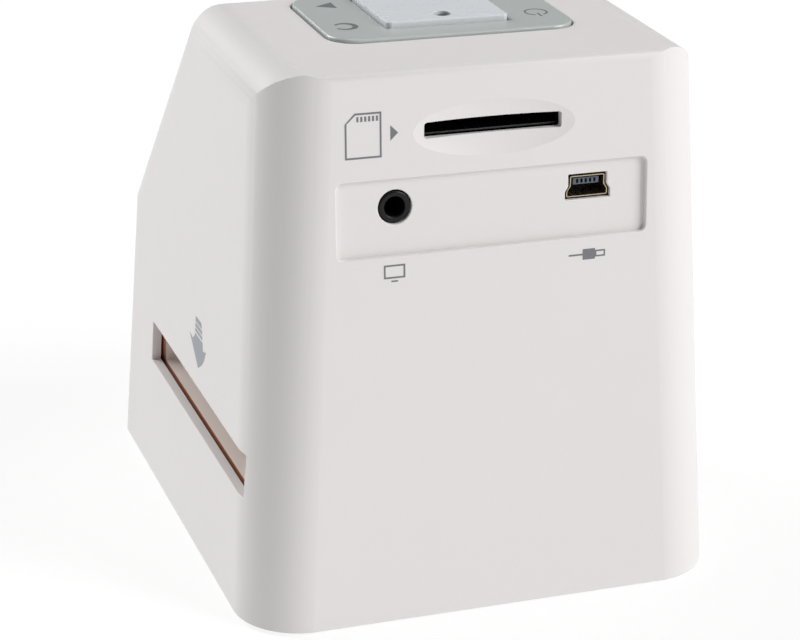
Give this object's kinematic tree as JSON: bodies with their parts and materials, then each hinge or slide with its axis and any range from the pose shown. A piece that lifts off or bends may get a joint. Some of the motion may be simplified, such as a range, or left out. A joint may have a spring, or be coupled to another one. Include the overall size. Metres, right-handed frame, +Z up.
{
  "type": "film negative scanner",
  "caption": "Upright desktop film scanner with leaning walls, sloping display front, key plate with scan button, side film channel, card slot, jack and USB socket.",
  "frame": {"origin": "centre of the footprint on the surface that the rubber feet stand on", "axes": "+Z up, -Y towards the sloping display front, +Y towards the rear sockets, +X towards the side with the film arrow"},
  "size_m": [0.089, 0.0966, 0.1002],
  "materials": {
    "casing_plastic": "warm off-white moulded ABS, satin gloss",
    "base_plastic": "off-white moulded ABS, matte",
    "foot_rubber": "dark grey rubber",
    "screw_steel": "zinc plated steel",
    "window_plastic": "glossy clear acrylic with a black printed border",
    "display_glass": "dark display glass, switched off",
    "ribbon_film": "amber flexible circuit film",
    "key_silver": "silver-grey painted plastic, satin",
    "key_silicone": "grey silicone rubber",
    "button_white": "cool white moulded ABS, satin gloss",
    "clear_plastic": "clear acrylic",
    "led_plastic": "white LED package with yellow phosphor",
    "circuit_board": "green solder mask on glass-epoxy board",
    "socket_steel": "tin plated steel sheet",
    "usb_steel": "nickel plated steel with a warm tint",
    "spacer_brass": "plated brass",
    "black_plastic": "black moulded plastic",
    "socket_plastic": "ivory connector plastic",
    "guide_plastic": "light grey moulded ABS",
    "lens_metal": "black anodised aluminium",
    "lens_clear": "coated optical glass",
    "diffuser_plastic": "opal white acrylic"
  },
  "bodies": {
    "scanner_body": {"casing": "casing_plastic", "base_plate": "base_plastic", "rubber_feet": "foot_rubber", "base_screws": "screw_steel", "lcd_window": "window_plastic", "lcd_panel": "display_glass", "lcd_frame": "base_plastic", "lcd_screws": "screw_steel", "lcd_ribbon": "ribbon_film", "status_led": "led_plastic", "key_board": "circuit_board", "key_domes": "socket_steel", "board_spacers": "spacer_brass", "key_ribbon": "ribbon_film", "card_shell": "socket_steel", "card_base": "black_plastic", "av_jack": "black_plastic", "usb_shell": "usb_steel", "usb_insulator": "black_plastic", "usb_contacts": "spacer_brass", "main_board": "circuit_board", "board_chips": "black_plastic", "main_board_screws": "screw_steel", "ribbon_sockets": "socket_plastic", "film_guide_lower": "guide_plastic", "film_guide_upper": "guide_plastic", "guide_screws": "screw_steel", "detent_spring": "screw_steel", "detent_cap": "black_plastic", "camera_tower": "black_plastic", "tower_screws": "screw_steel", "lens_holder": "black_plastic", "lens_barrel": "lens_metal", "lens_glass": "lens_clear", "sensor_board": "circuit_board", "image_sensor": "black_plastic", "sensor_screws": "screw_steel", "sensor_ribbon": "ribbon_film", "light_diffuser": "diffuser_plastic", "reflector_box": "guide_plastic", "led_board": "circuit_board", "backlight_leds": "led_plastic", "led_board_screws": "screw_steel", "led_ribbon": "ribbon_film"},
    "silicone_mat": {"key_mat": "key_silicone"},
    "rocker_plate": {"key_plate": "key_silver"},
    "scan_key": {"scan_button": "button_white", "light_pipe": "clear_plastic"},
    "card_pusher": {"card_slider": "socket_plastic"},
    "film_detent": {"detent_ball": "screw_steel"}
  },
  "joints": [
    {"name": "plate_tilt_front_back", "type": "hinge", "parent": "scanner_body", "child": "silicone_mat", "pos_m": [0, 0.0086, 0.0936], "axis": [1, 0, 0], "range_deg": [-1.1, 1.1], "stiffness_Nm_per_rad": 1.5},
    {"name": "plate_tilt_left_right", "type": "hinge", "parent": "silicone_mat", "child": "rocker_plate", "pos_m": [0, 0.0086, 0.0948], "axis": [0, 1, 0], "range_deg": [-1, 1], "stiffness_Nm_per_rad": 1.5},
    {"name": "scan_press", "type": "slide", "parent": "scanner_body", "child": "scan_key", "axis": [0, 0, -1], "range_m": [0, 0.0005], "stiffness_N_per_m": 1500},
    {"name": "card_push", "type": "slide", "parent": "scanner_body", "child": "card_pusher", "axis": [0, -1, 0], "range_m": [0, 0.0018], "stiffness_N_per_m": 300},
    {"name": "detent_retract", "type": "slide", "parent": "scanner_body", "child": "film_detent", "axis": [0, 0, 1], "range_m": [0, 0.0008], "stiffness_N_per_m": 400, "deforming": ["detent_spring"]}
  ]
}
